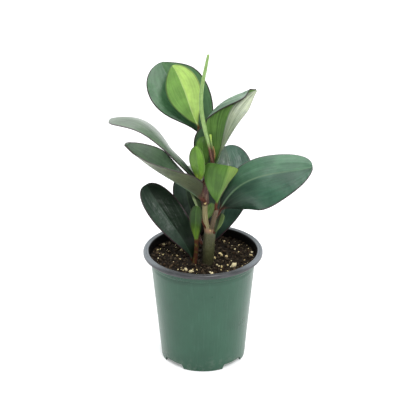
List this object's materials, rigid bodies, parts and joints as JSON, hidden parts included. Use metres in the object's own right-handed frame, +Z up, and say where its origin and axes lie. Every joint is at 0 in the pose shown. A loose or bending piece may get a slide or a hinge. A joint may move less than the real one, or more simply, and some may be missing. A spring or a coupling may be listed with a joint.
{
  "type": "potted plant",
  "caption": "Bushy upright peperomia with thick rounded leaves and a slender flower spike, in a tapered round nursery pot of soil.",
  "frame": {"origin": "centre of the whole plant's bounding box, at the bottom of the pot's foot ring; the pot's axis stands 6.3 mm to -X and 4.3 mm to -Y of it", "axes": "+Z up along the pot's axis; -Y faces the viewer of the picture; +X to that viewer's right"},
  "size_m": [0.181, 0.1188, 0.2986],
  "materials": {
    "pot_plastic": "satin moulded plastic, green body and grey lip",
    "soil": "loose dark potting mix with pale perlite and bark grains",
    "stem": "fleshy, satin, reddish towards the leaf stalks",
    "spike": "fleshy, finely bumpy",
    "leaf_dark": "fleshy, waxy satin sheen on the upper face, dull paler underside",
    "leaf_deep": "fleshy, waxy satin sheen on the upper face, dull paler underside",
    "leaf_green": "fleshy, waxy satin sheen on the upper face, dull paler underside",
    "leaf_fresh": "fleshy, waxy satin sheen on the upper face, dull paler underside",
    "leaf_bright": "fleshy, waxy satin sheen on the upper face, dull paler underside"
  },
  "bodies": {
    "root": {"pot": "pot_plastic", "soil": "soil", "stem": "stem", "spike_tall": "spike", "spike_small": "spike", "leaf_crown_broad": "leaf_dark", "leaf_crown_curled": "leaf_green", "leaf_crown_young": "leaf_fresh", "leaf_crown_back": "leaf_deep", "leaf_bud_bright": "leaf_bright", "leaf_bud_green": "leaf_fresh", "leaf_left_upper": "leaf_dark", "leaf_left_folded": "leaf_dark", "leaf_left_low": "leaf_deep", "leaf_left_back": "leaf_deep", "basal_shoot": "leaf_fresh", "leaf_right_wide": "leaf_dark", "leaf_right_bright": "leaf_fresh", "leaf_right_back": "leaf_dark", "leaf_axil_tiny": "leaf_bright", "leaf_axil_folded": "leaf_fresh", "leaf_axil_left": "leaf_green", "leaf_rear_right": "leaf_dark", "leaf_rear_left": "leaf_green"}
  },
  "joints": []
}
